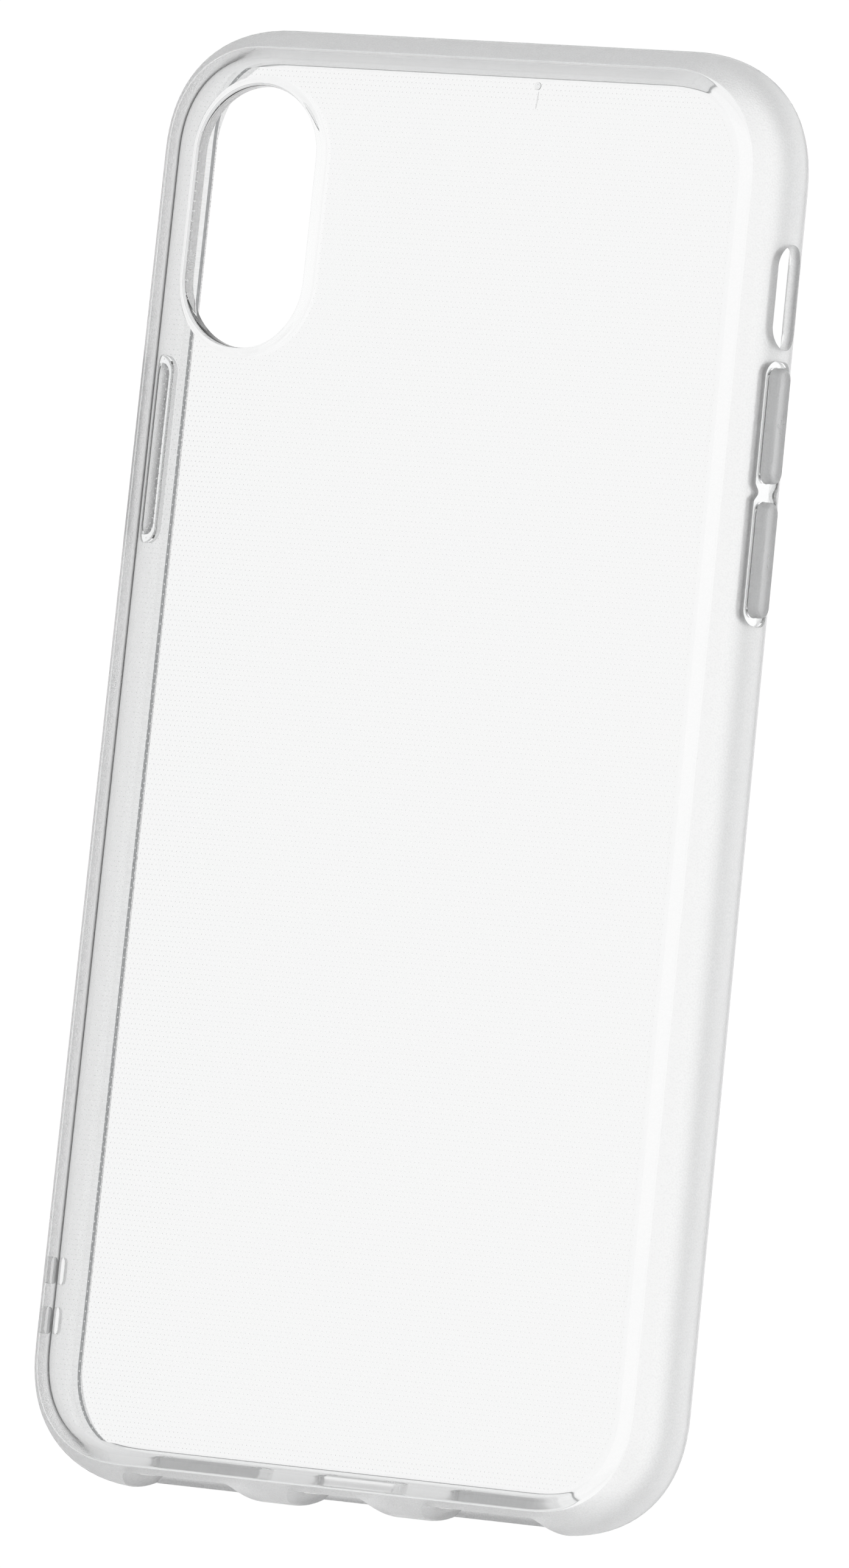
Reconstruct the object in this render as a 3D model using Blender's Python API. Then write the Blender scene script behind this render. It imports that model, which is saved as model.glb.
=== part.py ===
"""Clear moulded case for a 5.8 inch phone, as the regions that the moulding is made of.

The case lies face-down: its open front and screen lip are at z = 0 and its back panel is on top.
+X is the volume side, -X the power side, +Y the camera end and -Y the charging-port end.
"""

import math

import bmesh
import bpy

MM = 0.001

# The phone that the case is moulded for
PHONE_WIDTH = 70.9 * MM
PHONE_LENGTH = 143.6 * MM
PHONE_DEPTH = 7.7 * MM

# The moulding round it
CLEARANCE = 0.1 * MM
WALL = 1.35 * MM
PANEL = 1.0 * MM
LIP_HEIGHT = 0.9 * MM
WIDTH = PHONE_WIDTH + 2 * (CLEARANCE + WALL)
LENGTH = PHONE_LENGTH + 2 * (CLEARANCE + WALL)
HEIGHT = LIP_HEIGHT + PHONE_DEPTH + PANEL
PANEL_UNDERSIDE = HEIGHT - PANEL
PART_GAP = 0.3 * MM  # between neighbouring solids
SPLAY = 0.014  # the soft case is this much wider at the port end, and narrower at the camera end

# Corners in plan and the rounding of the wall's section
CORNER_RADIUS = 13.2 * MM
CORNER_POWER = 2.3
CORNER_STEPS = 9
WIDEST_HEIGHT = 4.0 * MM
FRONT_EDGE_INSET = 1.8 * MM
FRONT_EDGE_POWER = 2.0
BACK_EDGE_INSET = 3.4 * MM
BACK_EDGE_POWER = 1.85
INNER_FILLET_START = 4.6 * MM
PANEL_EDGE_INSET = 4.2 * MM

# The screen lip, as insets from the outermost face
LIP_INSET_SIDE = 2.2 * MM
LIP_INSET_CAMERA_END = 2.4 * MM
LIP_INSET_PORT_END = 3.1 * MM
LIP_CORNER_RADIUS = 8.8 * MM
LIP_UNDERSIDE = 1.3 * MM
LIP_UNDERSIDE_START = 2.4 * MM
LIP_EDGE_BREAK = 0.2 * MM

# Camera opening: a slot with round ends in the back panel, and its raised rim
CAMERA_CENTRE = (-23.42 * MM, 53.97 * MM)
CAMERA_RADIUS = 6.9 * MM
CAMERA_HALF_STRAIGHT = 6.2 * MM
RIM_WIDTH = 1.1 * MM
RIM_PROUD = 0.35 * MM

# Buttons: a solid cap in a thin clear web that fills a window in the wall
BUTTON_HEIGHT = 3.8 * MM  # of each cap's centre line above the front
CAP_HALF_HEIGHT = 1.2 * MM
CAP_CORNER_RADIUS = 1.15 * MM
CAP_INNER_FACE = 1.15 * MM  # inset from the outermost face
CAP_EDGE_ROUND = 0.35 * MM
WEB_OUTER_FACE = 0.5 * MM
WEB_THICKNESS = 0.5 * MM
WINDOW_HALF_HEIGHT = 2.25 * MM
WINDOW_CORNER_RADIUS = 1.6 * MM
WAIST_DEPTH = 0.5 * MM
WAIST_HALF_LENGTH = 1.0 * MM
WAIST_STEPS = 4
MARK_LENGTH = 1.5 * MM
MARK_WIDTH = 0.35 * MM
MARK_PROUD = 0.12 * MM
# name: (side, centre along Y, half length, how far the cap stands proud)
BUTTONS = {
    "power_button": (-1, 30.5 * MM, 8.65 * MM, 0.75 * MM),
    "volume_up_button": (1, 36.95 * MM, 5.7 * MM, 0.65 * MM),
    "volume_down_button": (1, 23.75 * MM, 5.7 * MM, 0.65 * MM),
}

# name: (centre along Y, half length of its window, whether it is waisted between two caps, its caps)
WEBS = {
    "power_button_web": (30.5 * MM, 9.45 * MM, False, ("power_button",)),
    "volume_button_web": (30.25 * MM, 13.05 * MM, True, ("volume_up_button", "volume_down_button")),
}

# Openings in the wall
MUTE_CENTRE = (49.6 * MM, 3.5 * MM)  # along Y and Z
MUTE_HALF_LENGTH = 5.2 * MM
MUTE_HALF_HEIGHT = 2.25 * MM
LANYARD_CENTRES = (-52.55 * MM, -57.55 * MM)  # along Y
LANYARD_HEIGHT = 4.8 * MM
LANYARD_HALF_LENGTH = 1.35 * MM
LANYARD_HALF_HEIGHT = 2.2 * MM
LANYARD_CORNER_RADIUS = 0.8 * MM
SCOOP_DEPTH = 1.5 * MM
SCOOP_RAMP = 2.2 * MM
PORT_HOLE_END = 2.5 * MM  # from the end of its scoop
PORT_HOLE_BOTTOM = 1.4 * MM
PORT_HOLE_TOP = 7.0 * MM
PORT_HOLE_CORNER_RADIUS = 1.5 * MM
# name: (left end, right end, height of the bar left in front of it)
SCOOPS = {
    "microphone_scoop": (-25.4 * MM, -9.6 * MM, 1.0 * MM),
    "charging_port_scoop": (-6.1 * MM, 6.1 * MM, 0.6 * MM),
    "speaker_scoop": (9.6 * MM, 25.9 * MM, 1.0 * MM),
}


def make_collection(name):
    collection = bpy.data.collections.new(name)
    bpy.context.scene.collection.children.link(collection)
    return collection


for leftover in list(bpy.data.objects):
    bpy.data.objects.remove(leftover, do_unlink=True)
PARTS = make_collection("phone_case")
CUTTERS = make_collection("cutters")


def make_material(name, colour, roughness, transmission=0.0):
    material = bpy.data.materials.new(name)
    material.use_nodes = True
    shader = material.node_tree.nodes["Principled BSDF"]
    shader.inputs["Base Color"].default_value = (*colour, 1.0)
    shader.inputs["Roughness"].default_value = roughness
    shader.inputs["Metallic"].default_value = 0.0
    shader.inputs["Transmission Weight"].default_value = transmission
    return material


def rounded_rectangle(half_a, half_b, radius, power=2.0, steps=6):
    """Points round a rectangle centred on the origin, whose corners are superellipse quadrants."""
    points = []
    for quadrant in range(4):
        sign_a, sign_b = ((1, 1), (-1, 1), (-1, -1), (1, -1))[quadrant]
        for step in range(steps + 1):
            angle = (quadrant + step / steps) * math.pi / 2
            a = sign_a * abs(math.cos(angle)) ** (2 / power)
            b = sign_b * abs(math.sin(angle)) ** (2 / power)
            points.append((sign_a * (half_a - radius) + radius * a,
                           sign_b * (half_b - radius) + radius * b))
    return points


def plan_loop(side, z, camera_end=None, port_end=None, radius=None):
    """The case's outline in plan, moved in by an inset on each side."""
    camera_end = side if camera_end is None else camera_end
    port_end = side if port_end is None else port_end
    radius = CORNER_RADIUS - side if radius is None else radius
    centre_y = (port_end - camera_end) / 2
    half_y = (LENGTH - camera_end - port_end) / 2
    corners = rounded_rectangle(WIDTH / 2 - side, half_y, radius, CORNER_POWER, CORNER_STEPS)
    return [(x, y + centre_y, z) for x, y in corners]


def wall_loop(x, centre, half_length, half_height, radius, steps=6):
    """A rounded rectangle in a side wall's plane, at that x."""
    outline = rounded_rectangle(half_length, half_height, radius, steps=steps)
    return [(x, centre[0] + y, centre[1] + z) for y, z in outline]


def quarter(power_a, power_b=None, steps=8):
    """(rise, run) pairs of a superellipse quadrant, from (0, 0) to (1, 1)."""
    power_b = power_a if power_b is None else power_b
    angles = [step / steps * math.pi / 2 for step in range(steps + 1)]
    return [(math.sin(a) ** (2 / power_b), 1 - max(math.cos(a), 0.0) ** (2 / power_a)) for a in angles]


def splayed(point):
    x, y, z = point
    return (x * (1 - SPLAY * y / (LENGTH / 2)), y, z)


def loft(name, loops, ring=False, origin=(0, 0, 0), collection=None, material=None):
    """A closed body through loops of equal length: a ring of them, or a stack with two flat ends."""
    mesh = bpy.data.meshes.new(name)
    body = bmesh.new()
    rows = []
    for loop in loops:
        placed = [splayed(point) for point in loop]
        rows.append([body.verts.new([a - b for a, b in zip(p, origin)]) for p in placed])
    pairs = list(zip(rows, rows[1:])) + ([(rows[-1], rows[0])] if ring else [])
    for low, high in pairs:
        for i in range(len(low)):
            j = (i + 1) % len(low)
            body.faces.new((low[i], low[j], high[j], high[i]))
    if not ring:
        body.faces.new(rows[0])
        body.faces.new(rows[-1])
    bmesh.ops.recalc_face_normals(body, faces=body.faces[:])
    body.to_mesh(mesh)
    body.free()
    mesh.shade_smooth()
    mesh.set_sharp_from_angle(angle=math.radians(35))
    made = bpy.data.objects.new(name, mesh)
    made.location = origin
    (collection or PARTS).objects.link(made)
    if material:
        mesh.materials.append(material)
    return made


def make_cutter(name, loops):
    cutter = loft(name, loops, collection=CUTTERS)
    cutter.hide_render = True
    cutter.display_type = "WIRE"
    return cutter


def apply_boolean(target, other, operation="DIFFERENCE"):
    modifier = target.modifiers.new(other.name, "BOOLEAN")
    modifier.operation = operation
    modifier.solver = "EXACT"
    modifier.object = other


def frame_section():
    """Loops of the wall's section in order: foot, outside, back edge, joint, inside, lip."""
    loops = [plan_loop(FRONT_EDGE_INSET * run, WIDEST_HEIGHT * (1 - rise))
             for rise, run in reversed(quarter(FRONT_EDGE_POWER))]
    rounding = HEIGHT - WIDEST_HEIGHT
    loops += [plan_loop(BACK_EDGE_INSET * run, WIDEST_HEIGHT + rounding * rise)
              for rise, run in quarter(BACK_EDGE_POWER)[1:]]
    loops.append(plan_loop(PANEL_EDGE_INSET, HEIGHT))
    fillet_height = PANEL_UNDERSIDE - INNER_FILLET_START
    fillet_width = PANEL_EDGE_INSET - WALL
    loops += [plan_loop(WALL + fillet_width * run, INNER_FILLET_START + fillet_height * rise)
              for rise, run in reversed(quarter(2.0))]
    for rise, run in quarter(2.0, steps=5):
        z = LIP_UNDERSIDE_START - (LIP_UNDERSIDE_START - LIP_UNDERSIDE) * rise
        loops.append(lip_loop(run, z))
    loops.append(lip_loop(1.0, LIP_EDGE_BREAK))
    loops.append(lip_loop(1.0, 0.0, LIP_EDGE_BREAK))
    return loops


def lip_loop(share, z, back_off=0.0):
    """A loop between the wall's inner face (share 0) and the lip's inner edge (share 1)."""
    insets = [WALL + (tip - WALL) * share - back_off
              for tip in (LIP_INSET_SIDE, LIP_INSET_CAMERA_END, LIP_INSET_PORT_END)]
    wall_radius = CORNER_RADIUS - WALL
    radius = wall_radius + (LIP_CORNER_RADIUS - wall_radius) * share + back_off
    return plan_loop(insets[0], z, insets[1], insets[2], radius)


def camera_loop(offset, z):
    radius = CAMERA_RADIUS + offset
    outline = rounded_rectangle(radius, CAMERA_HALF_STRAIGHT + radius, radius, steps=8)
    return [(CAMERA_CENTRE[0] + x, CAMERA_CENTRE[1] + y, z) for x, y in outline]


def window_loop(name, x, grow=0.0):
    """The outline of a button window at that x, with a dip in both long sides where it is waisted."""
    centre_y, half_length, waisted, _ = WEBS[name]
    half_height = WINDOW_HALF_HEIGHT + grow
    outline = rounded_rectangle(half_length + grow, half_height, WINDOW_CORNER_RADIUS + grow)
    if waisted:
        corner = len(outline) // 4
        quadrants = [outline[i:i + corner] for i in range(0, len(outline), corner)]
        turns = [step / WAIST_STEPS for step in range(-WAIST_STEPS, WAIST_STEPS + 1)]
        dips = [(WAIST_HALF_LENGTH * turn, WAIST_DEPTH * (1 + math.cos(math.pi * turn)) / 2)
                for turn in turns]
        upper = [(-along, half_height - dip) for along, dip in dips]
        lower = [(along, dip - half_height) for along, dip in dips]
        outline = quadrants[0] + upper + quadrants[1] + quadrants[2] + lower + quadrants[3]
    return [(x, centre_y + y, BUTTON_HEIGHT + z) for y, z in outline]


def wall_reach(side):
    """Where a cutter along X starts and ends, to pass through one side wall."""
    return side * (WIDTH / 2 - 2 * WALL), side * (WIDTH / 2 + 2 * WALL)


def wall_cutter(name, side, centre, size, steps=6):
    """A rounded bar along X that passes through one side wall."""
    return make_cutter(name, [wall_loop(x, centre, *size, steps=steps) for x in wall_reach(side)])


def scoop_cutter(name, left, right, bar_height):
    """A prism whose ends run out to the wall's face in an S-curve, above the bar at the front."""
    depths = [(step / 8, (1 - math.cos(math.pi * step / 8)) / 2) for step in range(9)]
    outside = -LENGTH / 2 - 2 * WALL
    face = -LENGTH / 2
    outline = [(left, outside)]
    outline += [(left + SCOOP_RAMP * along, face + SCOOP_DEPTH * deep) for along, deep in depths]
    outline += [(right - SCOOP_RAMP * along, face + SCOOP_DEPTH * deep) for along, deep in reversed(depths)]
    outline.append((right, outside))
    return make_cutter(name, [[(x, y, z) for x, y in outline] for z in (bar_height, HEIGHT + WALL)])


def port_hole_cutter(name, left, right):
    """A rounded bar along Y, narrower than its scoop, that opens the wall right through."""
    half_length = (right - left) / 2 - PORT_HOLE_END
    half_height = (PORT_HOLE_TOP - PORT_HOLE_BOTTOM) / 2
    outline = rounded_rectangle(half_length, half_height, PORT_HOLE_CORNER_RADIUS)
    middle = ((left + right) / 2, (PORT_HOLE_TOP + PORT_HOLE_BOTTOM) / 2)
    reach = (-LENGTH / 2 - WALL, -LENGTH / 2 + 3 * WALL)
    return make_cutter(name, [[(middle[0] + x, y, middle[1] + z) for x, z in outline] for y in reach])


def make_bumper_frame(material):
    frame = loft("bumper_frame", frame_section(), ring=True, material=material)
    cutters = [scoop_cutter(name, *place) for name, place in SCOOPS.items()]
    cutters += [port_hole_cutter(f"{name}_hole", *place[:2]) for name, place in SCOOPS.items()]
    mute = (MUTE_HALF_LENGTH, MUTE_HALF_HEIGHT, MUTE_HALF_HEIGHT)
    cutters.append(wall_cutter("mute_slot", 1, MUTE_CENTRE, mute))
    lanyard = (LANYARD_HALF_LENGTH, LANYARD_HALF_HEIGHT, LANYARD_CORNER_RADIUS)
    for number, y in enumerate(LANYARD_CENTRES, 1):
        cutters.append(wall_cutter(f"lanyard_hole_{number}", -1, (y, LANYARD_HEIGHT), lanyard, steps=3))
    for name, (*_, buttons) in WEBS.items():
        side = BUTTONS[buttons[0]][0]
        cutters.append(make_cutter(f"{name}_window", [window_loop(name, x) for x in wall_reach(side)]))
    for cutter in cutters:
        apply_boolean(frame, cutter)


def make_back_panel(material):
    edge = PANEL_EDGE_INSET + PART_GAP
    panel = loft("back_panel", [plan_loop(edge, z) for z in (PANEL_UNDERSIDE, HEIGHT)], material=material)
    hole = RIM_WIDTH + PART_GAP
    reach = (PANEL_UNDERSIDE - PANEL, HEIGHT + PANEL)
    apply_boolean(panel, make_cutter("camera_opening", [camera_loop(hole, z) for z in reach]))


def make_camera_rim(material):
    """A ring whose top is a half-round bead that stands proud of the panel."""
    loops = [camera_loop(RIM_WIDTH, PANEL_UNDERSIDE)]
    for step in range(9):
        angle = step / 8 * math.pi
        across = RIM_WIDTH / 2 * (1 + math.cos(angle))
        loops.append(camera_loop(across, HEIGHT + RIM_PROUD * math.sin(angle)))
    loops.append(camera_loop(0.0, PANEL_UNDERSIDE))
    loft("camera_rim", loops, ring=True, material=material)


def make_web(name, material):
    """The thin skin between the caps and the edge of their window."""
    buttons = WEBS[name][-1]
    side = BUTTONS[buttons[0]][0]
    faces = [side * (WIDTH / 2 - WEB_OUTER_FACE - depth) for depth in (0.0, WEB_THICKNESS)]
    skin = loft(name, [window_loop(name, x, -PART_GAP) for x in faces], material=material)
    for button in buttons:
        _, y, half_length, _ = BUTTONS[button]
        hole = (half_length + PART_GAP, CAP_HALF_HEIGHT + PART_GAP, CAP_CORNER_RADIUS + PART_GAP)
        apply_boolean(skin, wall_cutter(f"{button}_hole", side, (y, BUTTON_HEIGHT), hole))


def make_cap(name, material):
    """A solid cap that slides along X: its origin is on that axis, at its inner face."""
    side, y, half_length, proud = BUTTONS[name]
    centre = (y, BUTTON_HEIGHT)
    origin = splayed((side * (WIDTH / 2 - CAP_INNER_FACE), y, BUTTON_HEIGHT))
    face = WIDTH / 2 + proud
    stations = [(WIDTH / 2 - CAP_INNER_FACE, 0.0)]
    stations += [(face - CAP_EDGE_ROUND * (1 - rise), CAP_EDGE_ROUND * run)
                 for rise, run in quarter(2.0, steps=4)]
    loops = []
    for x, inset in stations:
        size = (half_length - inset, CAP_HALF_HEIGHT - inset, CAP_CORNER_RADIUS - inset)
        loops.append(wall_loop(side * x, centre, *size))
    return loft(name, loops, origin=origin, material=material)


def add_mark(cap, upright):
    """A raised minus sign on the cap, and a plus sign if it also has its upright bar."""
    side, y, _, proud = BUTTONS[cap.name]
    face = side * (WIDTH / 2 + proud)
    reach = (face - side * MARK_LENGTH / 2, face + side * MARK_PROUD)
    bars = {"bar": (MARK_WIDTH / 2, MARK_LENGTH / 2)}
    if upright:
        bars["upright"] = (MARK_LENGTH / 2, MARK_WIDTH / 2)
    for bar, (half_y, half_z) in bars.items():
        size = (half_y, half_z, MARK_WIDTH / 4)
        loops = [wall_loop(x, (y, BUTTON_HEIGHT), *size, steps=2) for x in reach]
        apply_boolean(cap, make_cutter(f"{cap.name}_{bar}", loops), "UNION")


clear = make_material("clear_tpu", (0.95, 0.96, 0.96), 0.05, transmission=0.9)
frosted = make_material("frosted_tpu", (0.82, 0.83, 0.83), 0.45, transmission=0.6)
web = make_material("web_tpu", (0.90, 0.91, 0.91), 0.10, transmission=0.8)
rim = make_material("rim_tpu", (0.92, 0.93, 0.93), 0.08, transmission=0.8)
caps = {name: make_material(f"{name}_tpu", (0.62, 0.63, 0.63), 0.50) for name in BUTTONS}

make_back_panel(clear)
make_bumper_frame(frosted)
make_camera_rim(rim)
make_web("power_button_web", web)
make_web("volume_button_web", web.copy())
make_cap("power_button", caps["power_button"])
add_mark(make_cap("volume_up_button", caps["volume_up_button"]), upright=True)
add_mark(make_cap("volume_down_button", caps["volume_down_button"]), upright=False)
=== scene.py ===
import math

import bmesh
import bpy
from mathutils import Matrix, Vector


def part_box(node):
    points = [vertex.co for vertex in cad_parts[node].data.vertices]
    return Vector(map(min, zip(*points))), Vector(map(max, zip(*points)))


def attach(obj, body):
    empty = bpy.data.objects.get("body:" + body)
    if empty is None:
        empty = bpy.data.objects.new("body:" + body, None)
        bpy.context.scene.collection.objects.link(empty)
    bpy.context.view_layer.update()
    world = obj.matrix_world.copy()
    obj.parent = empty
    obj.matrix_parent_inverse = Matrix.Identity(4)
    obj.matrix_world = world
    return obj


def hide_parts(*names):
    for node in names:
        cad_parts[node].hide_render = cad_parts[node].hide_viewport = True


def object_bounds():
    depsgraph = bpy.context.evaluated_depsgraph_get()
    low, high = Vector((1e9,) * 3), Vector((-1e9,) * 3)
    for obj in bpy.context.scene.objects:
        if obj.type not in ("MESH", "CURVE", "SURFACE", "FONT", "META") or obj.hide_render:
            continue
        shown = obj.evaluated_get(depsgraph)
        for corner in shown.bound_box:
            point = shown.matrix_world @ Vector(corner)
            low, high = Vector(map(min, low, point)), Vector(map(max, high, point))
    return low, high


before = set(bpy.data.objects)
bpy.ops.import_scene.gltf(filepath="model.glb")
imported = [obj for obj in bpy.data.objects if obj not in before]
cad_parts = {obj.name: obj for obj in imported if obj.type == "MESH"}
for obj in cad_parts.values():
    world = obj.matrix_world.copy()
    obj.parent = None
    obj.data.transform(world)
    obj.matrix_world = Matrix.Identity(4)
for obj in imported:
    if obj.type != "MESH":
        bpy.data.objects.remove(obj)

cad_low, cad_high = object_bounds()
MM = 0.001

# ---------------------------------------------------------------------------------------------
# Camera, floor and light. A long lens looks down on the back, from about 33 degrees towards the
# volume side and a little rolled. The floor is an evenly glowing white board, and three large
# soft panels light the case.

CAMERA_DISTANCE = 1530 * MM
CAMERA_LENS = 354.6  # on the default 36 mm sensor
CAMERA_TURN = math.radians(-32.64)  # about the case's length
CAMERA_TIP = math.radians(-1.70)  # towards the port end
CAMERA_ROLL = math.radians(-5.84)
CAMERA_AIM = Vector((0.68 * MM, -0.91 * MM, 0))  # off the case's centre, across the view
CENTRE = Vector((0, 0, 4.8 * MM))

to_view = (Matrix.Rotation(CAMERA_ROLL, 3, "Z") @ Matrix.Rotation(CAMERA_TIP, 3, "X")
           @ Matrix.Rotation(CAMERA_TURN, 3, "Y"))
lens = bpy.data.cameras.new("camera")
lens.lens = CAMERA_LENS
lens.clip_end = 20
camera = bpy.data.objects.new("camera", lens)
camera.rotation_euler = to_view.transposed().to_euler()
camera.location = CENTRE + to_view.transposed() @ (CAMERA_AIM + Vector((0, 0, CAMERA_DISTANCE)))
bpy.context.scene.collection.objects.link(camera)
bpy.context.scene.camera = camera
bpy.context.scene.view_settings.view_transform = "Standard"

FLOOR_GLOW = 1.0
FLOOR_SIZE = 6.0
FLOOR_DROP = 0.3 * MM  # below the lip, so that the two faces never lie in one plane
ROOM_GREY = 0.05


class Finish:
    """A material whose Principled shader is set by name, with nodes added one call at a time."""

    def __init__(self, name, **plain):
        self.material = bpy.data.materials.new(name)
        self.material.use_nodes = True
        self.tree = self.material.node_tree
        self.shader = self.tree.nodes["Principled BSDF"]
        for socket, value in plain.items():
            self.feed(self.shader, socket, value)

    def feed(self, node, socket, value):
        """Sets or links one input: an underscore in its keyword stands for a space."""
        target = node.inputs[socket if isinstance(socket, int) else socket.replace("_", " ")]
        if isinstance(value, Value):
            self.tree.links.new(value.socket, target)
        elif isinstance(value, tuple) and len(value) == 3 and target.type == "RGBA":
            target.default_value = (*value, 1)
        else:
            target.default_value = value

    def node(self, kind, settings=None, output=0, **sockets):
        """Adds any node: its settings first, then the values or links of its sockets."""
        made = self.tree.nodes.new(f"ShaderNode{kind}")
        for name, value in (settings or {}).items():
            setattr(made, name, value)
        for socket, value in sockets.items():
            self.feed(made, int(socket[1:]) if socket[1:].isdigit() else socket, value)
        return Value(self, made.outputs[output])


class Value:
    """A shader socket that takes part in arithmetic: each operator adds a Math node."""

    def __init__(self, finish, socket):
        self.finish, self.socket = finish, socket

    def maths(self, operation, other=0.0, before=None):
        first, second = (self, other) if before is None else (before, self)
        return self.finish.node("Math", {"operation": operation}, _0=first, _1=second)

    def __add__(self, other):
        return self.maths("ADD", other)

    def __sub__(self, other):
        return self.maths("SUBTRACT", other)

    def __rsub__(self, other):
        return self.maths("SUBTRACT", before=other)

    def __mul__(self, other):
        return self.maths("MULTIPLY", other)

    def __truediv__(self, other):
        return self.maths("DIVIDE", other)

    __radd__ = __add__
    __rmul__ = __mul__


board = Finish("white_board", Base_Color=(0.03, 0.03, 0.03), Roughness=0.6, Emission_Color=(1, 1, 1),
               Emission_Strength=FLOOR_GLOW)
bpy.ops.mesh.primitive_plane_add(size=FLOOR_SIZE, location=(0, 0, -FLOOR_DROP))
floor = bpy.context.object
floor.name = "floor"
floor.data.materials.append(board.material)

world = bpy.data.worlds.new("studio")
world.use_nodes = True
world.node_tree.nodes["Background"].inputs["Color"].default_value = (ROOM_GREY,) * 3 + (1,)
bpy.context.scene.world = world


def add_panel(name, place, size, power):
    """A square soft light that faces the case."""
    light = bpy.data.lights.new(name, "AREA")
    light.size = size
    light.energy = power
    panel = bpy.data.objects.new(name, light)
    panel.location = place
    panel.rotation_euler = (CENTRE - panel.location).to_track_quat("-Z", "Y").to_euler()
    bpy.context.scene.collection.objects.link(panel)


add_panel("overhead_panel", Vector((0.2, 0.0, 1.9)), 2.6, 13.0)
add_panel("side_panel", Vector((1.7, 0.1, 0.6)), 1.8, 4.5)
add_panel("port_panel", Vector((0.3, -1.7, 0.6)), 1.6, 5.0)

# ---------------------------------------------------------------------------------------------
# The bumper frame: the soft wall all round, with the rolled back edge and the screen lip, of
# clear TPU. It is frosted outside, where the mould is blasted, glossy on the back edge and on the
# lip, and satin inside.

WIDTH = 73.8 * MM
LENGTH = cad_high.y - cad_low.y
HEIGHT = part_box("bumper_frame")[1].z
WALL = 1.35 * MM
PANEL_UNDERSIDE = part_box("back_panel")[0].z
SPLAY = 0.014
CORNER_RADIUS = 13.2 * MM
CORNER_POWER = 2.3
WIDEST_HEIGHT = 4.0 * MM
FRONT_EDGE_INSET = 1.8 * MM
BACK_EDGE_INSET = 3.4 * MM
BACK_EDGE_POWER = 1.85
FROST_EDGE_INSET = 2.1 * MM
INNER_FILLET_START = 4.6 * MM
PANEL_EDGE_INSET = 4.2 * MM
LIP_INSETS = (2.2 * MM, 2.4 * MM, 3.1 * MM)  # side walls, camera end, port end
LIP_CORNER_RADIUS = 8.8 * MM
LIP_UNDERSIDE = 1.3 * MM
LIP_UNDERSIDE_START = 2.4 * MM
LIP_TIP_ROUND = 0.55 * MM
FROST_STEP = 0.06 * MM
CORNER_STEPS = 20
STRAIGHT_STEP = 3.0 * MM  # between loop points along the straight sides
BACK_EDGE_STEPS = 24
LIP_UNDERSIDE_STEPS = 8
LIP_TIP_STEPS = 24
PAINTED_SHADE_STEPS = range(7, 12)  # of the lip tip's steps, the ones that the painted shade line covers
FROSTED, GLOSSY, JOINT, SATIN, PAINTED_SHADE_LINE = range(5)  # material slots of the wall


def rounded_rectangle(half_a, half_b, radius, power=2.0, steps=8, straight=()):
    """Points round a rectangle with superellipse corners. straight holds how many steps each
    side between two corners is cut into: first the one at +b, then the one at -a, -b and +a."""
    points = []
    signs = ((1, 1), (-1, 1), (-1, -1), (1, -1))
    for quadrant, (sign_a, sign_b) in enumerate(signs):
        for step in range(steps + 1):
            angle = (quadrant + step / steps) * math.pi / 2
            a = sign_a * abs(math.cos(angle)) ** (2 / power)
            b = sign_b * abs(math.sin(angle)) ** (2 / power)
            points.append((sign_a * (half_a - radius) + radius * a,
                           sign_b * (half_b - radius) + radius * b))
        if straight:
            start, (next_a, next_b) = points[-1], signs[(quadrant + 1) % 4]
            end = ((next_a * (half_a - radius), start[1]) if quadrant % 2 == 0
                   else (start[0], next_b * (half_b - radius)))
            count = straight[quadrant]
            points += [(start[0] + (end[0] - start[0]) * i / count,
                        start[1] + (end[1] - start[1]) * i / count) for i in range(1, count)]
    return points


def plan_loop(insets, z, radius=None):
    """The case's outline in plan, moved in by an inset from each side wall and each end."""
    side, camera_end, port_end = insets if isinstance(insets, tuple) else (insets,) * 3
    radius = CORNER_RADIUS - side if radius is None else radius
    middle = (port_end - camera_end) / 2
    across, along = round(WIDTH / STRAIGHT_STEP), round(LENGTH / STRAIGHT_STEP)
    outline = rounded_rectangle(WIDTH / 2 - side, (LENGTH - camera_end - port_end) / 2, radius,
                                CORNER_POWER, CORNER_STEPS, (across, along, across, along))
    return [(x, y + middle, z) for x, y in outline]


def quarter(power=2.0, steps=14):
    """(rise, run) pairs of a superellipse quadrant, from (0, 0) to (1, 1)."""
    angles = [step / steps * math.pi / 2 for step in range(steps + 1)]
    return [(math.sin(a) ** (2 / power), 1 - max(math.cos(a), 0.0) ** (2 / power)) for a in angles]


def splayed(point):
    """The soft case spreads towards its port end, where the openings free the wall."""
    x, y, z = point
    return Vector((x * (1 - SPLAY * y / (LENGTH / 2)), y, z))


def loft(name, loops, ring=False, slots=None):
    """A closed mesh through loops of equal length. slots gives each band its material's number,
    and a stack's two flat ends take the first and the last of them."""
    mesh = bpy.data.meshes.new(name)
    body = bmesh.new()
    rows = [[body.verts.new(splayed(point)) for point in loop] for loop in loops]
    pairs = list(zip(rows, rows[1:])) + ([(rows[-1], rows[0])] if ring else [])
    slots = slots or [0] * len(pairs)
    for (low, high), slot in zip(pairs, slots):
        for i in range(len(low)):
            j = (i + 1) % len(low)
            body.faces.new((low[i], low[j], high[j], high[i])).material_index = slot
    if not ring:
        body.faces.new(rows[0]).material_index = slots[0]
        body.faces.new(rows[-1]).material_index = slots[-1]
    bmesh.ops.recalc_face_normals(body, faces=body.faces[:])
    body.to_mesh(mesh)
    body.free()
    made = bpy.data.objects.new(name, mesh)
    bpy.context.scene.collection.objects.link(made)
    return made


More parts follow.
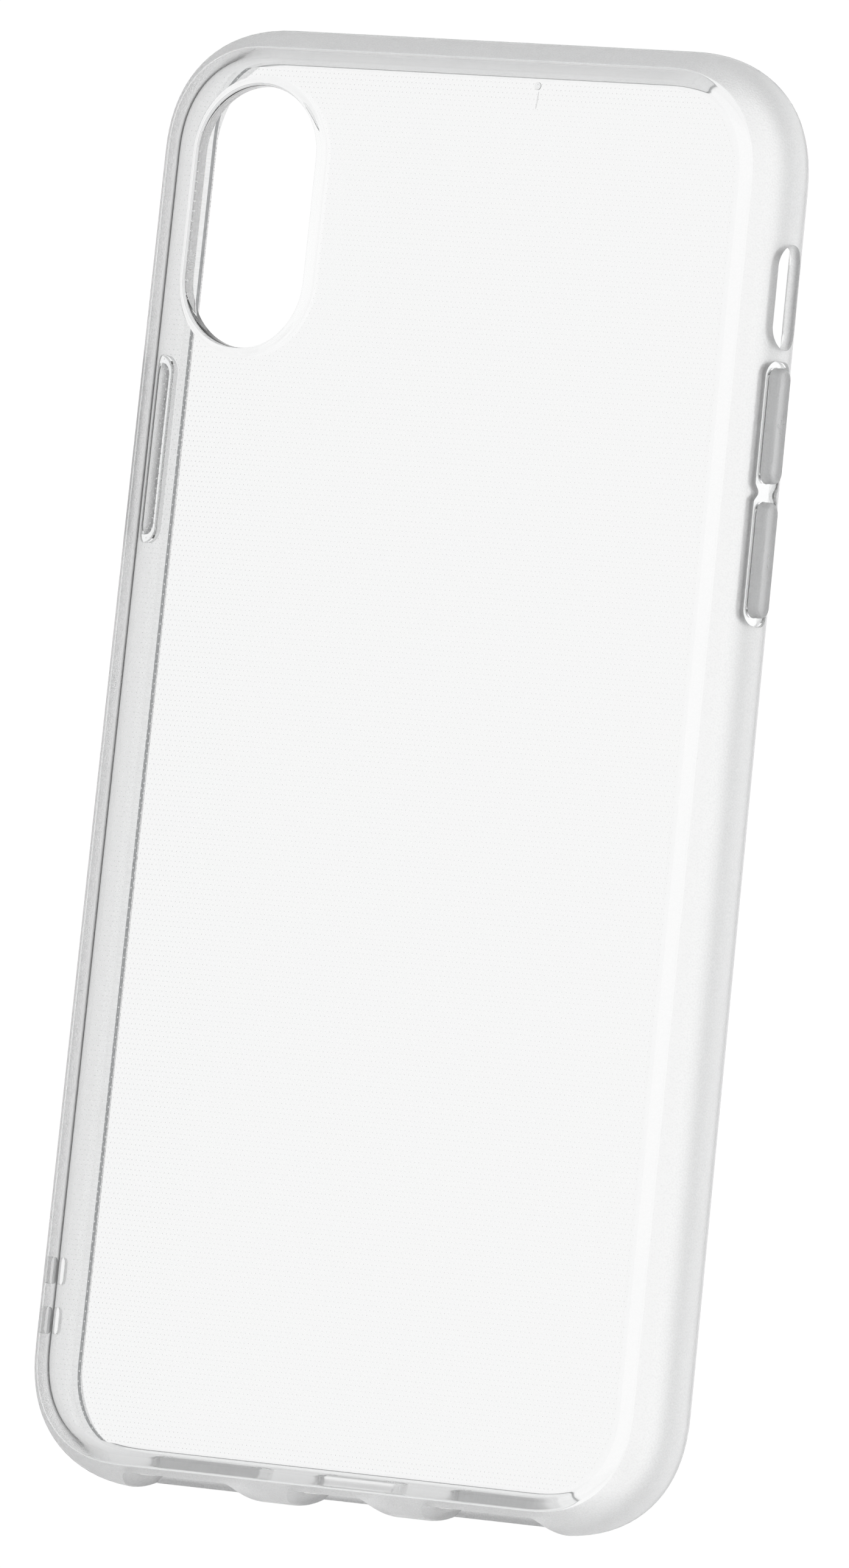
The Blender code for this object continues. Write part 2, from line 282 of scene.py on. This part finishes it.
def carve(piece, cutters, slot=0, operation="DIFFERENCE"):
    """Cuts or joins closed cutters, whose faces take the slot, and keeps the result as the mesh."""
    for cutter in cutters:
        cutter.data.polygons.foreach_set("material_index", [slot] * len(cutter.data.polygons))
        modifier = piece.modifiers.new(cutter.name, "BOOLEAN")
        modifier.operation = operation
        modifier.object = cutter
    evaluated = piece.evaluated_get(bpy.context.evaluated_depsgraph_get())
    carved = bpy.data.meshes.new_from_object(evaluated)
    piece.modifiers.clear()
    piece.data = carved
    for cutter in cutters:
        bpy.data.objects.remove(cutter, do_unlink=True)


def shade(piece, angle=32):
    """Smooth shading, with edges that turn by more than the angle in degrees left sharp."""
    piece.data.shade_smooth()
    piece.data.set_sharp_from_angle(angle=math.radians(angle))


def lip_loop(share, z, back_off=0.0):
    """A loop between the wall's inner face (share 0) and the lip's inner edge (share 1)."""
    insets = tuple(WALL + (tip - WALL) * share - back_off for tip in LIP_INSETS)
    wall_radius = CORNER_RADIUS - WALL
    radius = wall_radius + (LIP_CORNER_RADIUS - wall_radius) * share + back_off
    return plan_loop(insets, z, radius)


def wall_section():
    """The wall's loops from its foot, up the outside, across the joint and down the inside, and
    the material slot of the band after each."""
    loops, slots = [], []
    for rise, run in reversed(quarter()):
        loops.append(plan_loop(FRONT_EDGE_INSET * run, WIDEST_HEIGHT * (1 - rise)))
        slots.append(FROSTED)
    for rise, run in quarter(BACK_EDGE_POWER, BACK_EDGE_STEPS)[1:]:
        inset = BACK_EDGE_INSET * run
        z = WIDEST_HEIGHT + (HEIGHT - WIDEST_HEIGHT) * rise
        if inset < FROST_EDGE_INSET:
            loops.append(plan_loop(inset, z))
            slots.append(FROSTED)
            continue
        if slots[-1] == FROSTED:
            loops.append(plan_loop(inset - FROST_STEP, z - FROST_STEP / 2))
            slots.append(GLOSSY)
        fade = (BACK_EDGE_INSET - inset) / (BACK_EDGE_INSET - FROST_EDGE_INSET)
        loops.append(plan_loop(inset, z + FROST_STEP * fade))
        slots.append(GLOSSY)
    loops.append(plan_loop(PANEL_EDGE_INSET, HEIGHT))
    slots.append(JOINT)
    for rise, run in reversed(quarter()):
        z = INNER_FILLET_START + (PANEL_UNDERSIDE - INNER_FILLET_START) * rise
        loops.append(plan_loop(WALL + (PANEL_EDGE_INSET - WALL) * run, z))
        slots.append(SATIN)
    for rise, run in quarter(steps=LIP_UNDERSIDE_STEPS):
        z = LIP_UNDERSIDE_START - (LIP_UNDERSIDE_START - LIP_UNDERSIDE) * rise
        loops.append(lip_loop(run, z, LIP_TIP_ROUND * run))
        slots.append(GLOSSY)
    for step in range(1, LIP_TIP_STEPS + 1):
        angle = math.pi * step / LIP_TIP_STEPS
        z = LIP_UNDERSIDE / 2 * (1 + math.cos(angle))
        loops.append(lip_loop(1.0, z, LIP_TIP_ROUND * (1 - math.sin(angle))))
        slots.append(PAINTED_SHADE_LINE if step in PAINTED_SHADE_STEPS else GLOSSY)
    return loops, slots


def wall_loop(x, centre, half_length, half_height, radius, steps=8):
    """A rounded rectangle in a side wall's plane, at that x."""
    outline = rounded_rectangle(half_length, half_height, radius, steps=steps)
    return [(x, centre[0] + y, centre[1] + z) for y, z in outline]


def wall_reach(side):
    """Where a cutter along X starts and ends, to pass through one side wall."""
    return side * (WIDTH / 2 - 2 * WALL), side * (WIDTH / 2 + 2 * WALL)


SCOOP_DEPTH = 1.5 * MM
SCOOP_RAMP = 2.2 * MM
PORT_HOLE_END = 2.5 * MM
PORT_HOLE_BOTTOM, PORT_HOLE_TOP = 1.4 * MM, 7.0 * MM
PORT_HOLE_CORNER_RADIUS = 1.5 * MM
SCOOP_STEPS = 12
# of each scoop: its left end, its right end and the height of the bar left in front of it
SCOOPS = (
    (-25.4 * MM, -9.6 * MM, 1.0 * MM),
    (-6.1 * MM, 6.1 * MM, 0.6 * MM),
    (9.6 * MM, 25.9 * MM, 1.0 * MM),
)


def scoop_cutter(left, right, bar_height):
    """A prism whose ends run out to the wall's face in an S-curve, above the bar at the front."""
    shares = [step / SCOOP_STEPS for step in range(SCOOP_STEPS + 1)]
    depths = [(share, (1 - math.cos(math.pi * share)) / 2) for share in shares]
    outside = -LENGTH / 2 - 2 * WALL
    face = -LENGTH / 2
    outline = [(left, outside)]
    outline += [(left + SCOOP_RAMP * along, face + SCOOP_DEPTH * deep) for along, deep in depths]
    outline += [(right - SCOOP_RAMP * along, face + SCOOP_DEPTH * deep)
                for along, deep in reversed(depths)]
    outline.append((right, outside))
    levels = (bar_height, HEIGHT + WALL)
    return loft("scoop", [[(x, y, z) for x, y in outline] for z in levels])


def port_hole_cutter(left, right, _):
    """A rounded bar along Y, narrower than its scoop, that opens the wall right through."""
    half_length = (right - left) / 2 - PORT_HOLE_END
    half_height = (PORT_HOLE_TOP - PORT_HOLE_BOTTOM) / 2
    outline = rounded_rectangle(half_length, half_height, PORT_HOLE_CORNER_RADIUS)
    across, up = (left + right) / 2, (PORT_HOLE_TOP + PORT_HOLE_BOTTOM) / 2
    reach = (-LENGTH / 2 - WALL, -LENGTH / 2 + 3 * WALL)
    return loft("port_hole", [[(across + x, y, up + z) for x, z in outline] for y in reach])


MUTE_CENTRE = (49.6 * MM, 3.5 * MM)  # along Y and Z
MUTE_SIZE = (5.2 * MM, 2.25 * MM, 2.25 * MM)  # half length, half height, corner radius
MUTE_CORNER_STEPS = 16
LANYARD_CENTRES = (-52.55 * MM, -57.55 * MM)  # along Y
LANYARD_HEIGHT = 3.7 * MM  # at the wall's outer face
LANYARD_SLOPE = 1.5  # how steeply the holes climb inwards
LANYARD_SIZE = (1.35 * MM, 0.9 * MM, 0.6 * MM)  # half length, half height, corner radius
BUTTON_HEIGHT = 3.8 * MM
# name: (side, centre along Y, half length of its window, whether it is waisted)
WEBS = {
    "power_button_web": (-1, 30.5 * MM, 9.45 * MM, False),
    "volume_button_web": (1, 30.25 * MM, 13.05 * MM, True),
}
WINDOW_HALF_HEIGHT = 2.25 * MM
WINDOW_CORNER_RADIUS = 1.6 * MM
WAIST_DEPTH = 0.5 * MM
WAIST_HALF_LENGTH = 1.0 * MM
WAIST_STEPS = 6  # on each side of its middle


def window_loop(name, x, grow=0.0):
    """The outline of a button window at that x, with a dip in both long sides if it is waisted."""
    _, centre_y, half_length, waisted = WEBS[name]
    half_height = WINDOW_HALF_HEIGHT + grow
    outline = rounded_rectangle(half_length + grow, half_height, WINDOW_CORNER_RADIUS + grow)
    if waisted:
        corner = len(outline) // 4
        quadrants = [outline[i:i + corner] for i in range(0, len(outline), corner)]
        shares = [step / WAIST_STEPS for step in range(-WAIST_STEPS, WAIST_STEPS + 1)]
        dips = [(WAIST_HALF_LENGTH * share, WAIST_DEPTH * (1 + math.cos(math.pi * share)) / 2)
                for share in shares]
        upper = [(-along, half_height - dip) for along, dip in dips]
        lower = [(along, dip - half_height) for along, dip in dips]
        outline = quadrants[0] + upper + quadrants[1] + quadrants[2] + lower + quadrants[3]
    return [(x, centre_y + y, BUTTON_HEIGHT + z) for y, z in outline]


CLEAR_ROUGHNESS = 0.02
TPU_INDEX = 1.5
GRAIN_SIZE = 0.17 * MM
GRAIN_DEPTH = 0.03 * MM
LIGHT_AND_THIN_BLAST_FROM = (26 * MM, 5 * MM)  # where the painted light and the thinning of the blasting start, along X and Z
FROST_TOP = 9.2 * MM


def grain(finish, size):
    """Fine even noise in the object's own space, from 0 to 1."""
    place = finish.node("TexCoord", output=3)
    return finish.node("TexNoise", Vector=place, Scale=1 / size, Detail=0.0)


def bump(finish, height, depth):
    """A normal that stands the surface up by depth where height is 1."""
    finish.feed(finish.shader, "Normal", finish.node("Bump", Height=height, Distance=depth))


def tint(finish, mask, low, high):
    """Feeds Base Color from low where mask is 0 to high where it is 1."""
    mixed = finish.node("Mix", {"data_type": "RGBA"}, output=2, _0=mask, _6=(*low, 1), _7=(*high, 1))
    finish.feed(finish.shader, "Base Color", mixed)


frosted = Finish("frosted_tpu", IOR=TPU_INDEX, Transmission_Weight=0.94)
blast = grain(frosted, GRAIN_SIZE)
place = frosted.node("TexCoord", output=3)
towards_back = frosted.node("MapRange", Value=frosted.node("SeparateXYZ", output=2, Vector=place),
                            _1=LIGHT_AND_THIN_BLAST_FROM[1], _2=FROST_TOP, _3=0.0, _4=1.0)
towards_keys = frosted.node("MapRange", Value=frosted.node("SeparateXYZ", output=0, Vector=place),
                            _1=LIGHT_AND_THIN_BLAST_FROM[0], _2=WIDTH / 2, _3=0.0, _4=1.0)
painted_light_and_thin_blast = towards_back * towards_keys
# Painted light: the frosted wall's colour grows lighter towards the back edge and towards the volume
# side, where the light falls. The grain on top gives the blasting's own spread of tone.
tint(frosted, blast + 0.6 * painted_light_and_thin_blast, (0.74, 0.745, 0.75), (1.0, 1.0, 1.0))
bump(frosted, blast, GRAIN_DEPTH)
frosted.feed(frosted.shader, "Roughness", 0.45 + 0.14 * blast - 0.25 * painted_light_and_thin_blast)
glossy = Finish("glossy_tpu", Roughness=CLEAR_ROUGHNESS, IOR=TPU_INDEX, Transmission_Weight=1.0)
flow = grain(glossy, 9 * MM)
tint(glossy, flow, (0.955, 0.96, 0.96), (0.985, 0.985, 0.985))
satin = Finish("satin_inner_tpu", IOR=TPU_INDEX, Transmission_Weight=1.0)
tint(satin, grain(satin, GRAIN_SIZE), (0.93, 0.935, 0.935), (0.99, 0.99, 0.99))
place = satin.node("TexCoord", output=3)
clearing = satin.node("MapRange", Value=satin.node("SeparateXYZ", output=2, Vector=place),
                      _1=INNER_FILLET_START, _2=PANEL_UNDERSIDE, _3=0.0, _4=1.0)
satin.feed(satin.shader, "Roughness", 0.28 - 0.2 * clearing)
# Painted shade: a dark band round the lip's inner edge, where that edge shows as a dark line. The
# grain breaks it up.
painted_lip_shade = Finish("painted_lip_shade_tpu", Roughness=0.35, IOR=TPU_INDEX, Transmission_Weight=1.0)
tint(painted_lip_shade, grain(painted_lip_shade, 2 * GRAIN_SIZE), (0.10, 0.105, 0.11), (0.22, 0.225, 0.23))
joint = Finish("joint_inside_the_moulding", Alpha=0.0)
loops, slots = wall_section()
bumper = loft("bumper_wall", loops, ring=True, slots=slots)
for finish in (frosted, glossy, joint, satin, painted_lip_shade):
    bumper.data.materials.append(finish.material)
carve(bumper, [scoop_cutter(*place) for place in SCOOPS], FROSTED)
carve(bumper, [port_hole_cutter(*place) for place in SCOOPS], SATIN)
mute_loops = [wall_loop(x, MUTE_CENTRE, *MUTE_SIZE, MUTE_CORNER_STEPS) for x in wall_reach(1)]
cutters = [loft("mute_slot", mute_loops)]
for y in LANYARD_CENTRES:
    places = [(x, (y, LANYARD_HEIGHT + LANYARD_SLOPE * (WIDTH / 2 + x))) for x in wall_reach(-1)]
    cutters.append(loft("lanyard_hole", [wall_loop(x, centre, *LANYARD_SIZE) for x, centre in places]))
for name, (side, *_) in WEBS.items():
    cutters.append(loft(f"{name}_window", [window_loop(name, x) for x in wall_reach(side)]))
carve(bumper, cutters, FROSTED)
shade(bumper)

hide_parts("bumper_frame")
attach(bumper, "case_body")

# ---------------------------------------------------------------------------------------------
# The back panel: a flat clear sheet, 1 mm thick, moulded in one with the wall. Its inner face
# carries a fine grid of micro-dots that keeps it from clinging to the phone's glass.

CAMERA_CENTRE = (-23.42 * MM, 53.97 * MM)
CAMERA_RADIUS = 6.9 * MM
CAMERA_HALF_STRAIGHT = 6.2 * MM
RIM_WIDTH = 1.1 * MM
DOT_PITCH = 0.5 * MM
DOT_RADIUS = 0.075 * MM
DOT_HEIGHT = 0.014 * MM


def camera_loop(offset, z, steps=20):
    """The camera opening's outline at that z, moved out by the offset."""
    radius = CAMERA_RADIUS + offset
    outline = rounded_rectangle(radius, CAMERA_HALF_STRAIGHT + radius, radius, steps=steps)
    return [(CAMERA_CENTRE[0] + x, CAMERA_CENTRE[1] + y, z) for x, y in outline]


levels = (PANEL_UNDERSIDE, HEIGHT)
panel = loft("clear_back_panel", [plan_loop(PANEL_EDGE_INSET, z) for z in levels])
levels = (PANEL_UNDERSIDE - WALL, HEIGHT + WALL)
carve(panel, [loft("camera_hole", [camera_loop(RIM_WIDTH, z) for z in levels])])
shade(panel)
for face in panel.data.polygons:
    face.material_index = 1 if abs(face.normal.z) < 0.5 else 0

dotted = Finish("micro_dotted_tpu", Roughness=CLEAR_ROUGHNESS, IOR=TPU_INDEX, Transmission_Weight=1.0)
place = dotted.node("TexCoord", output=3)
column = dotted.node("SeparateXYZ", output=0, Vector=place) / DOT_PITCH
row = dotted.node("SeparateXYZ", output=1, Vector=place) / DOT_PITCH
depth = dotted.node("SeparateXYZ", output=2, Vector=place)
stagger = 0.5 * row.maths("FLOOR").maths("FLOORED_MODULO", 2.0)
across = (column + stagger).maths("FRACT") - 0.5
along = row.maths("FRACT") - 0.5
distance = (across * across + along * along).maths("SQRT")
inner_face = depth.maths("LESS_THAN", (PANEL_UNDERSIDE + HEIGHT) / 2)
dot = inner_face * dotted.node("MapRange", Value=distance, _1=DOT_RADIUS / DOT_PITCH,
                               _2=0.5 * DOT_RADIUS / DOT_PITCH, _3=0.0, _4=1.0)
tint(dotted, dot, (0.985, 0.987, 0.987), (0.88, 0.885, 0.885))
bump(dotted, dot, DOT_HEIGHT)
panel.data.materials.append(dotted.material)
panel.data.materials.append(joint.material)
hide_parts("back_panel")
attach(panel, "case_body")

# ---------------------------------------------------------------------------------------------
# Moulding marks on the panel's inner face, of the same clear TPU: the gate where the plastic
# entered, at the camera end, and a short flow line below it.

GATE_RADIUS = 0.4 * MM
MOULDING_MARK_DEPTH = 0.06 * MM
MOULDING_MARK_OVERLAP = 0.01 * MM  # sunk into the panel
MOULDING_MARK_STEPS = 32
# name: (centre along X and Y, half length, half width, turn in degrees)
MOULDING_MARKS = {
    "gate_mark": ((8.6 * MM, 68.6 * MM), GATE_RADIUS, GATE_RADIUS, 0),
    "gate_flow_line": ((8.7 * MM, 67.2 * MM), 0.9 * MM, 0.06 * MM, 84),
}


def lens_loops(centre, half_length, half_width, turn):
    """Shrinking ellipses that hang a shallow lens from the panel's inner face."""
    angle = math.radians(turn)
    loops = []
    for rise, run in quarter(steps=4)[:-1]:
        share = 1 - run
        loop = []
        for step in range(MOULDING_MARK_STEPS):
            around = 2 * math.pi * step / MOULDING_MARK_STEPS
            a = half_length * share * math.cos(around)
            b = half_width * share * math.sin(around)
            loop.append((centre[0] + a * math.cos(angle) - b * math.sin(angle),
                         centre[1] + a * math.sin(angle) + b * math.cos(angle),
                         PANEL_UNDERSIDE + MOULDING_MARK_OVERLAP - MOULDING_MARK_DEPTH * rise))
        loops.append(loop)
    return loops


for name, place in MOULDING_MARKS.items():
    mark = loft(name, lens_loops(*place))
    shade(mark, angle=60)
    mark.data.materials.append(glossy.material)
    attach(mark, "case_body")

# ---------------------------------------------------------------------------------------------
# The camera rim: a half-round bead about the camera opening, moulded in one with the panel.
# It stands proud of the back, so that the lenses never touch a table.

RIM_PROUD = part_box("camera_rim")[1].z - HEIGHT
RIM_EDGE_ROUND = 0.35 * MM
RIM_STEPS = 8

loops = [camera_loop(RIM_WIDTH, PANEL_UNDERSIDE), camera_loop(RIM_WIDTH, HEIGHT)]
for step in range(1, RIM_STEPS + 1):
    climb = step / RIM_STEPS
    offset = RIM_WIDTH - (RIM_WIDTH - RIM_EDGE_ROUND) * climb
    loops.append(camera_loop(offset, HEIGHT + RIM_PROUD * (1 - math.cos(math.pi * climb)) / 2))
for rise, run in quarter(steps=RIM_STEPS)[1:]:
    drop = (RIM_PROUD + RIM_EDGE_ROUND) * run
    loops.append(camera_loop(RIM_EDGE_ROUND * (1 - rise), HEIGHT + RIM_PROUD - drop))
loops.append(camera_loop(0.0, PANEL_UNDERSIDE))
rim = loft("camera_rim_bead", loops, ring=True, slots=[1] + [0] * (len(loops) - 1))
shade(rim, angle=40)
rim.data.materials.append(glossy.material)
rim.data.materials.append(joint.material)
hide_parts("camera_rim")
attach(rim, "case_body")

# ---------------------------------------------------------------------------------------------
# The button webs: thin clear TPU skins, sunk in windows of the wall and moulded in one with it.
# On the real case they bend round each cap as it is pressed.

WEB_OUTER_FACE = 0.5 * MM
WEB_THICKNESS = 0.5 * MM
WEB_EDGE_GAP = 0.02 * MM  # between a web and its window's edge
CAP_CORNER_RADIUS = 1.15 * MM
CAP_HALF_HEIGHT = 1.2 * MM
CAP_GAP = 0.03 * MM
# name: (side, centre along Y, half length, how far the cap stands proud)
BUTTONS = {
    "power_button": (-1, 30.5 * MM, 8.65 * MM, 0.75 * MM),
    "volume_up_button": (1, 36.95 * MM, 5.7 * MM, 0.65 * MM),
    "volume_down_button": (1, 23.75 * MM, 5.7 * MM, 0.65 * MM),
}
web_tpu = Finish("web_tpu", Roughness=0.06, IOR=TPU_INDEX, Transmission_Weight=1.0)
tint(web_tpu, grain(web_tpu, 4 * MM), (0.95, 0.955, 0.955), (0.99, 0.995, 0.995))
for name, (side, *_) in WEBS.items():
    faces = [side * (WIDTH / 2 - WEB_OUTER_FACE - depth) for depth in (0.0, WEB_THICKNESS)]
    skin = loft(f"{name}_skin", [window_loop(name, x, -WEB_EDGE_GAP) for x in faces])
    holes = []
    for cap_side, y, half_length, _ in BUTTONS.values():
        if cap_side == side:
            size = (half_length + CAP_GAP, CAP_HALF_HEIGHT + CAP_GAP, CAP_CORNER_RADIUS + CAP_GAP)
            hole = [wall_loop(x, (y, BUTTON_HEIGHT), *size) for x in wall_reach(side)]
            holes.append(loft("cap_hole", hole))
    carve(skin, holes)
    shade(skin)
    skin.data.materials.append(web_tpu.material)
    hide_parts(name)
    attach(skin, "case_body")

# ---------------------------------------------------------------------------------------------
# The button caps: stiffer grey TPU with a fine matte face and rounded edges. Each one slides
# through its web, and the volume caps carry a raised plus and a raised minus.

CAP_INNER_FACE = 1.15 * MM
CAP_EDGE_ROUND = 0.4 * MM
MARK_LENGTH = 1.5 * MM
MARK_WIDTH = 0.35 * MM
MARK_PROUD = 0.12 * MM
MARK_CORNER_RADIUS = MARK_WIDTH / 2.2
cap_tpu = Finish("matte_grey_tpu", IOR=TPU_INDEX, Transmission_Weight=0.9)
cap_blast = grain(cap_tpu, GRAIN_SIZE)
tint(cap_tpu, cap_blast, (0.84, 0.845, 0.85), (1.0, 1.0, 1.0))
bump(cap_tpu, cap_blast, GRAIN_DEPTH)
cap_tpu.feed(cap_tpu.shader, "Roughness", 0.5 + 0.14 * cap_blast)


def cap_piece(name, body):
    """One cap with its marks, riding on its own body."""
    side, y, half_length, proud = BUTTONS[name]
    face = WIDTH / 2 + proud
    stations = [(WIDTH / 2 - CAP_INNER_FACE, 0.0)]
    stations += [(face - CAP_EDGE_ROUND * (1 - rise), CAP_EDGE_ROUND * run)
                 for rise, run in quarter(steps=6)]
    loops = []
    for x, inset in stations:
        size = (half_length - inset, CAP_HALF_HEIGHT - inset, CAP_CORNER_RADIUS - inset)
        loops.append(wall_loop(side * x, (y, BUTTON_HEIGHT), *size))
    cap = loft(f"{name}_cap", loops)
    spans = []
    if name != "power_button":
        spans.append((MARK_LENGTH, MARK_WIDTH))
    if name == "volume_up_button":
        spans.append((MARK_WIDTH, MARK_LENGTH))
    bars = []
    for along, up in spans:
        reach = (side * (face - MARK_WIDTH), side * (face + MARK_PROUD))
        size = (along / 2, up / 2, MARK_CORNER_RADIUS)
        bars.append(loft("mark_bar", [wall_loop(x, (y, BUTTON_HEIGHT), *size) for x in reach]))
    carve(cap, bars, operation="UNION")
    shade(cap, angle=40)
    cap.data.materials.append(cap_tpu.material)
    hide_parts(name)
    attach(cap, body)


cap_piece("power_button", "power_key")
cap_piece("volume_up_button", "volume_up_key")
cap_piece("volume_down_button", "volume_down_key")
